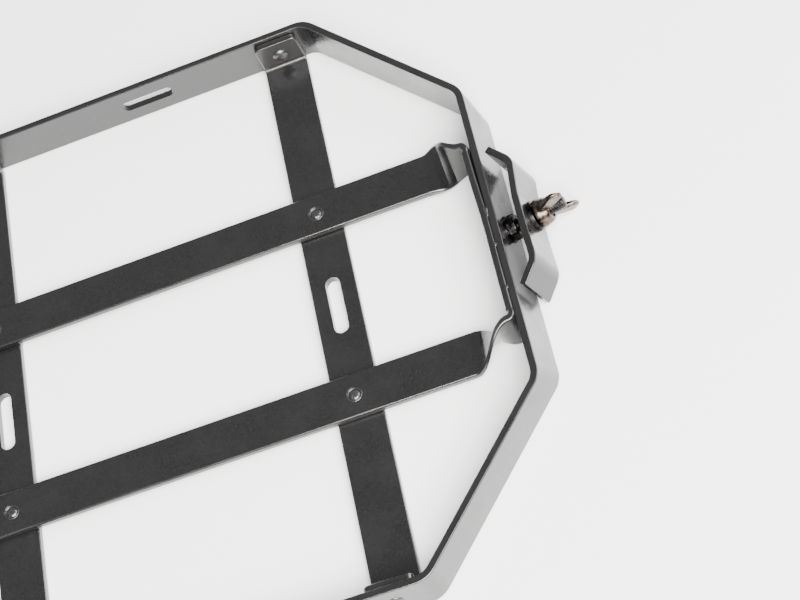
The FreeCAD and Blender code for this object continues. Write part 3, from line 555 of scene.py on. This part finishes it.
def washer(name, body, node, origin, axis, outer, hole, thick, look):
    """A punched washer with rounded rims."""
    soft = 0.25
    profile = [(hole, 0.0), (outer - soft, 0.0), (outer - 0.07, 0.07), (outer, soft), (outer, thick - soft),
               (outer - 0.07, thick - 0.07), (outer - soft, thick), (hole + soft, thick),
               (hole, thick - soft)]
    tool = bmesh.new()
    lathe(tool, profile, frame_at(origin, axis, Z_AXIS), 64, closed=True)
    finish_piece(piece_from(name, tool, 40), body, look, [node])


def wing_nut():
    """A forged wing nut: hub and wings melted together by a fine remesh, then smoothed."""
    place = frame_at(clamp_point(NUT_SEAT, SCREW_OFFSET, 0), LEAN_X, -LEAN_Z)
    place = place @ Matrix.Rotation(WING_TURN, 4, "Z")
    local = Matrix.Identity(4)
    tool = bmesh.new()
    lathe(tool, [(0, 0.1), (5.6, 0.1), (6.15, 0.6), (6.2, 1.6), (5.6, 4.2), (5.1, 5.4), (4.4, 5.9), (0, 5.9)],
          local, 64)
    for side in (1, -1):
        stations = []
        for i in range(13):
            share = i / 12
            reach = 3.4 + 6.0 * share
            level = 3.6 + 7.9 * share ** 1.15
            slope = math.atan2(7.9 * 1.15 * max(share, 0.02) ** 0.15, 6.0)
            along = X_AXIS * side * math.cos(slope) + Z_AXIS * math.sin(slope)
            across = Z_AXIS * math.cos(slope) - X_AXIS * side * math.sin(slope)
            stations.append((Vector((side * reach, 0, level)), along, across, share))
        rows = []
        for middle, along, across, share in stations:
            width = 5.6 + 1.5 * share
            thick = 3.6 - 1.3 * share
            rows.append((middle, along, across, width, thick))
        for extra in range(1, 8):
            turn = math.radians(90) * extra / 7
            middle, along, across, width, thick = rows[12]
            rows.append((middle + along * 3.45 * math.sin(turn), along, across,
                         width * max(math.cos(turn), 0.06), thick * max(math.cos(turn), 0.35)))
        rings = []
        for middle, along, across, width, thick in rows:
            outline = round_rectangle(width, thick, min(thick, width) * 0.46, 5)
            rings.append([tool.verts.new((middle + across * a + Y_AXIS * t) * MM) for a, t in outline])
        count = len(rings[0])
        for ring, following in zip(rings, rings[1:]):
            for i in range(count):
                j = (i + 1) % count
                tool.faces.new((ring[i], ring[j], following[j], following[i]))
        tool.faces.new(rings[0][::-1])
        tool.faces.new(rings[-1])
    piece = piece_from("forged_wing_nut", tool)
    remesh = piece.modifiers.new("melt", "REMESH")
    remesh.mode = "VOXEL"
    remesh.voxel_size = 0.22 * MM
    soften = piece.modifiers.new("soften", "SMOOTH")
    soften.iterations = 5
    soften.factor = 0.6
    bpy.context.view_layer.update()
    graph = bpy.context.evaluated_depsgraph_get()
    mesh = bpy.data.meshes.new_from_object(piece.evaluated_get(graph))
    piece.modifiers.clear()
    piece.data = mesh
    cutter = bmesh.new()
    bore = [(0, -1.0), (3.6, -1.0), (NUT_BORE, 0.5), (NUT_BORE, 5.2), (3.5, 5.9), (3.5, 8.0), (0, 8.0)]
    lathe(cutter, bore, local, 64)
    countersink(piece, cutter)
    shade(piece.data, 50)
    piece.data.transform(place)
    finish_piece(piece, "wing_nut", ZINC, ["wing_nut"])


def weld_specks():
    """Small weld beads that tie the loop's bar to the frame's end, either side of the stud."""
    tool = bmesh.new()
    beads = ((8.5, 1.2, 0), (6.2, 0.8, 1), (-9.0, 0.9, 2), (-30.0, 0.8, 3))
    for y, size, seed in beads:
        middle = clamp_point(-BAR_THICK - 0.05, y, BAR_HEIGHT / 2 / math.cos(LEAN) + 0.75)
        middle.z = BAR_HEIGHT - 0.25
        made = bmesh.ops.create_icosphere(tool, subdivisions=3, radius=1.0)
        for vertex in made["verts"]:
            co = vertex.co
            ripple = 1 + 0.10 * math.sin(5 * co.x + seed) + 0.08 * math.sin(7 * co.y + 2 * seed)
            vertex.co = (middle + Vector((co.x * size * 0.8, co.y * size * 1.25, co.z * 0.42)) * ripple) * MM
    finish_piece(piece_from("weld_beads", tool, 80), "platform", WELD)


# ---------------------------------------------------------------- hinge
def split_pin():
    """A split pin: an eye and two legs, one bent over."""
    x = PIN_X
    y = EAR_OUTER + 2.6
    curve = bpy.data.curves.new("split_pin_wire", "CURVE")
    curve.dimensions = "3D"
    curve.bevel_depth = 0.45 * MM
    curve.bevel_resolution = 5
    spline = curve.splines.new("NURBS")
    points = [(-3.4, 0.5, -5.8), (-1.6, 0.5, -5.6), (-0.4, 0.48, -4.8), (0, 0.46, -3), (0, 0.46, 0),
              (0, 0.46, 4.5), (-1.4, 0.3, 7.0), (-1.6, 0, 9.2), (0, -0.1, 10.6), (1.6, 0, 9.2),
              (1.4, -0.3, 7.0), (0, -0.46, 4.5),
              (0, -0.46, 0), (0, -0.46, -3), (0.3, -0.48, -5.0), (1.0, -0.5, -6.4)]
    spline.points.add(len(points) - 1)
    for point, (dx, dy, dz) in zip(spline.points, points):
        point.co = ((x + dx) * MM, (y + dy) * MM, (10 + dz) * MM, 1)
    spline.order_u = 3
    spline.use_endpoint_u = True
    curve.use_fill_caps = True
    wire = bpy.data.objects.new("split_pin_wire", curve)
    bpy.context.scene.collection.objects.link(wire)
    bpy.context.view_layer.update()
    graph = bpy.context.evaluated_depsgraph_get()
    mesh = bpy.data.meshes.new_from_object(wire.evaluated_get(graph))
    bpy.data.objects.remove(wire)
    piece = bpy.data.objects.new("bent_split_pin", mesh)
    bpy.context.scene.collection.objects.link(piece)
    shade(mesh, 60)
    finish_piece(piece, "bracket", PIN_ZINC, ["split_pin"])


def pin_washers():
    x = PIN_X
    tool = bmesh.new()
    places = ((34.8, 1), (-34.8, -1), (EAR_OUTER + 0.1, 1))
    for y, side in places:
        soft = 0.2
        profile = [(3.06, 0.0), (6.5 - soft, 0.0), (6.5, soft), (6.5, 1.1 - soft), (6.5 - soft, 1.1),
                   (3.06, 1.1)]
        lathe(tool, profile, frame_at(Vector((x, y, 10.0)), Y_AXIS * side, Z_AXIS), 56, closed=True)
    finish_piece(piece_from("pin_washer_rings", tool, 40), "bracket", PIN_ZINC, ["pin_washers"])


# ---------------------------------------------------------------- the frame's own nodes
def dress_nodes():
    """Materials and soft edges on the nodes that show as they are."""
    looks = {"outer_frame": (COAT, 0), "clamp_plate": (COAT, 0), "hinge_bracket": (COAT, 0.5),
             "hinge_lug_left": (COAT, 0.4), "hinge_lug_right": (COAT, 0.4), "hinge_pin": (PIN_ZINC, 0.35),
             "cross_strap_1": (COAT, 0), "cross_strap_2": (COAT, 0), "cross_strap_3": (COAT, 0)}
    for name, (look, edge) in looks.items():
        node = NODES[name]
        node.data.materials.clear()
        node.data.materials.append(look)
        shade(node.data, 30)
        if edge:
            bevelled(node, edge)
        else:
            flat_faces_first(node)


# ---------------------------------------------------------------- studio
def camera():
    """The camera looks down at the clamp end from the near side."""
    right = Vector((0.93162, -0.19114, -0.30911))
    up = Vector((0.32663, 0.81331, 0.48150))
    right.normalize()
    up = (up - right * up.dot(right)).normalized()
    back = right.cross(up)
    data = bpy.data.cameras.new("camera")
    data.sensor_width = 36.0
    data.lens = 88.8
    data.clip_start = 0.01
    made = bpy.data.objects.new("camera", data)
    bpy.context.scene.collection.objects.link(made)
    turned = Matrix((right, up, back)).transposed().to_4x4()
    made.matrix_world = Matrix.Translation(Vector((0.3089, -0.4545, 0.6694))) @ turned
    bpy.context.scene.camera = made


def area_light(name, place, target, size, watts, colour=(1, 1, 1)):
    data = bpy.data.lights.new(name, "AREA")
    data.shape = "RECTANGLE"
    data.size, data.size_y = size
    data.energy = watts
    data.color = colour
    made = bpy.data.objects.new(name, data)
    bpy.context.scene.collection.objects.link(made)
    made.location = place
    made.rotation_euler = (Vector(target) - Vector(place)).to_track_quat("-Z", "Y").to_euler()


def studio():
    world = bpy.data.worlds.new("studio")
    bpy.context.scene.world = world
    world.use_nodes = True
    world.node_tree.nodes["Background"].inputs["Color"].default_value = (1, 1, 1, 1)
    world.node_tree.nodes["Background"].inputs["Strength"].default_value = 0.35
    floor_tool = bmesh.new()
    bmesh.ops.create_grid(floor_tool, x_segments=1, y_segments=1, size=6.0)
    floor = piece_from("floor", floor_tool)
    floor.location.z = -0.0006
    look, _, shader = material("pale_floor")
    shader.inputs["Base Color"].default_value = (0.93, 0.93, 0.93, 1)
    shader.inputs["Roughness"].default_value = 0.9
    floor.data.materials.append(look)
    area_light("key", (0.9, -1.3, 1.7), (0, 0, 0), (1.8, 1.8), 300, (1.0, 0.99, 0.97))
    area_light("warm_spot", (-0.10, -1.05, 1.02), (0.15, 0, 0), (0.14, 0.14), 6, (1.0, 0.86, 0.70))
    area_light("cool_spot", (0.08, -1.0, 1.12), (0.15, 0, 0), (0.14, 0.14), 6, (0.78, 0.87, 1.0))
    area_light("clamp_side", (1.9, 0.5, 0.9), (0.2, 0, 0), (1.4, 1.4), 60, (0.94, 0.96, 1.0))


slat_loop()
slat_rivets()
band_rivets()
threaded_stud()
toothed_washer()
hex_nut()
washer("plate_washer", "clamp", "flat_washer", clamp_point(CLAMP_SEAT, SCREW_OFFSET, 0), LEAN_X,
       6.6, 3.2, 2.0, STEEL_DARK)
wing_nut()
weld_specks()
split_pin()
pin_washers()
dress_nodes()
camera()
studio()
